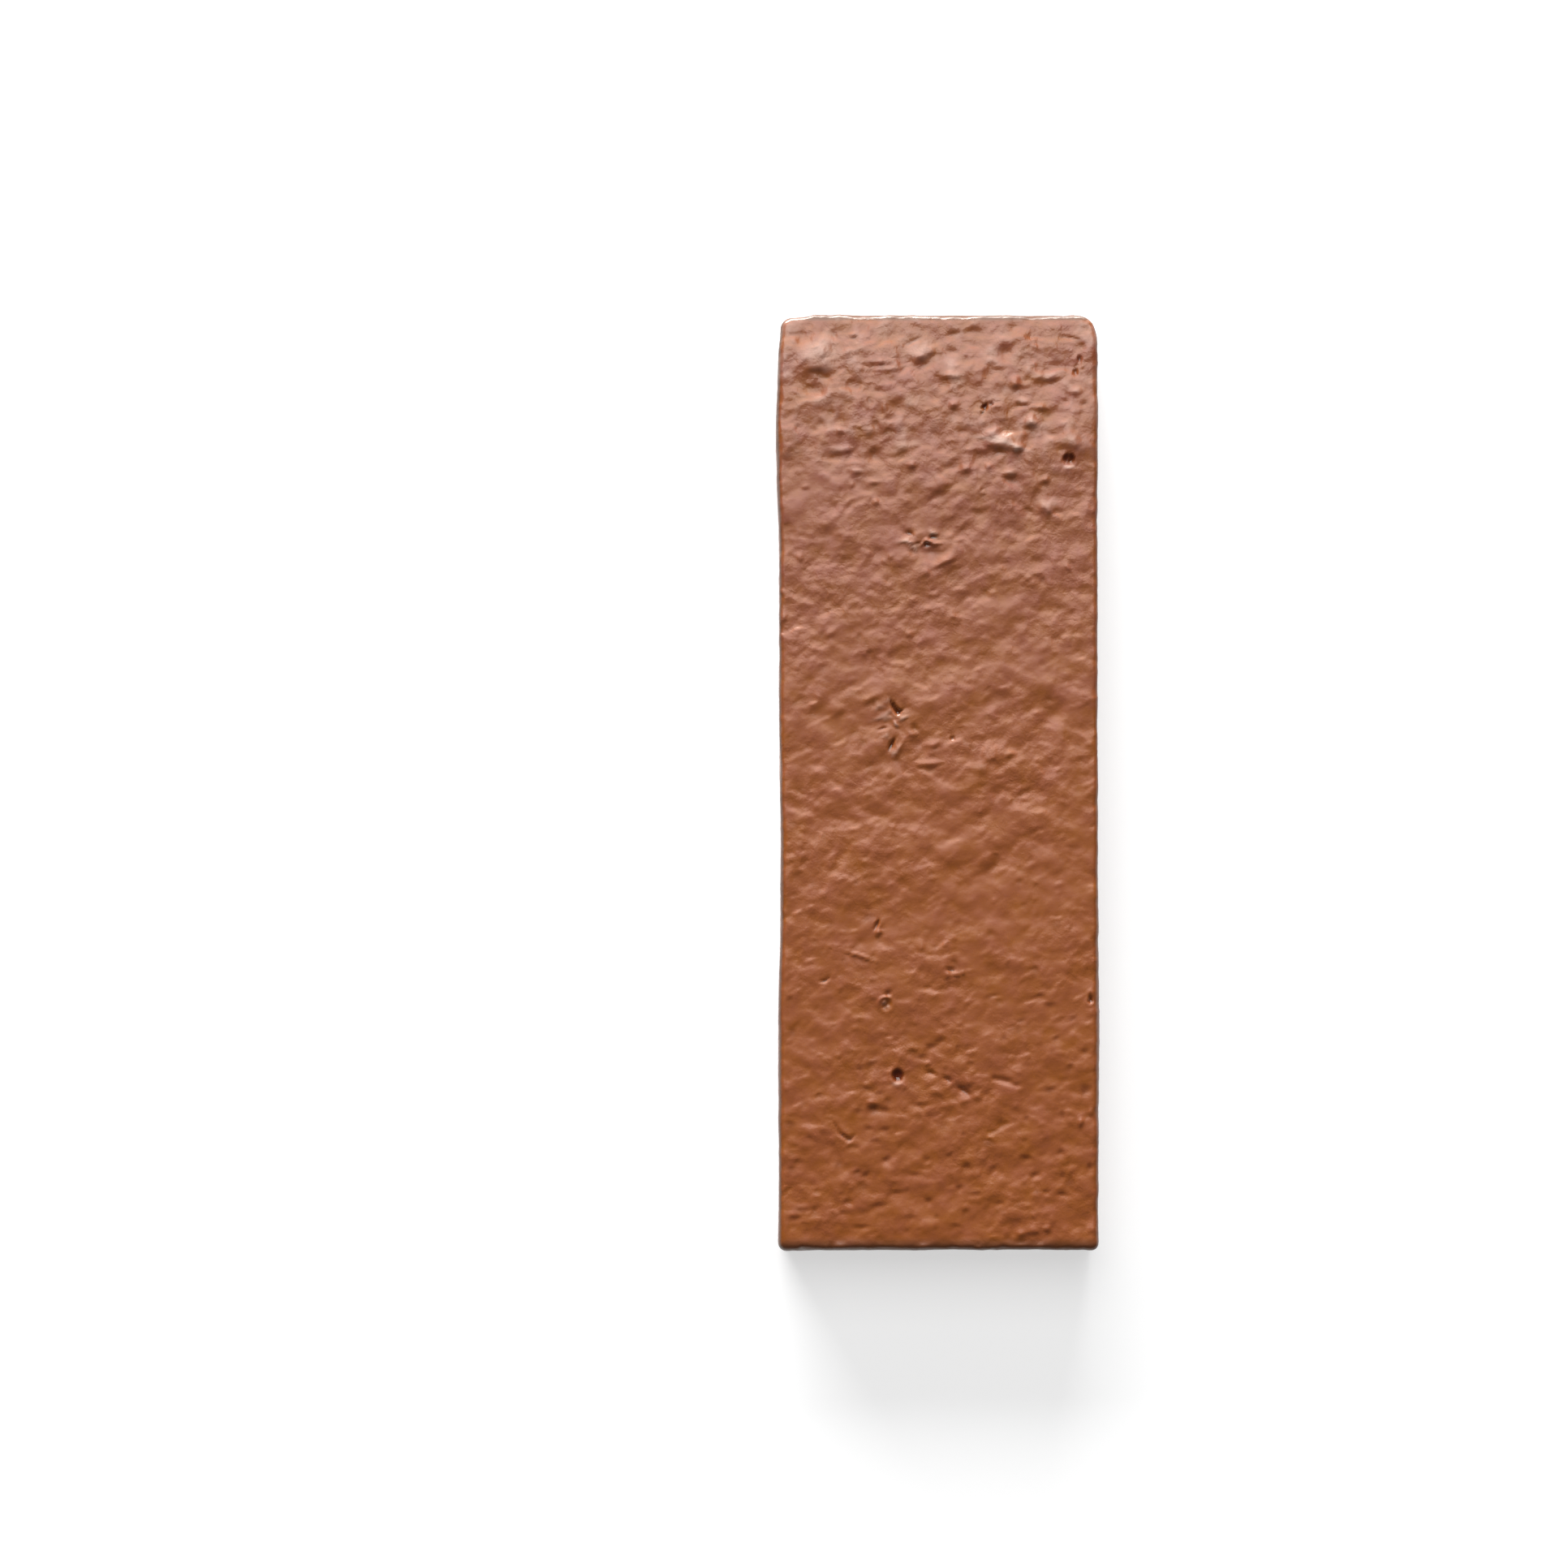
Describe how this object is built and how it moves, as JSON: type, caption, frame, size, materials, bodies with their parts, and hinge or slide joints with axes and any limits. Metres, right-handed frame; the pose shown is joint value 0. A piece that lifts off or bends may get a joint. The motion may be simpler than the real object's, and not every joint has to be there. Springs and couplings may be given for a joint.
{
  "type": "glazed thin brick",
  "caption": "Flat rectangular brick slip with a wrinkled glossy brown glazed face, softly rounded edges and a flat back that is bonded to a wall.",
  "frame": {"origin": "centre of the flat back, on which the brick lies", "axes": "+X across the brick, +Y along its length, +Z from the back out through the glazed face"},
  "size_m": [0.065, 0.19, 0.016],
  "materials": {
    "glazed_clay": "brown gloss glaze over fired clay"
  },
  "bodies": {
    "root": {"thin_brick": "glazed_clay"}
  },
  "joints": []
}
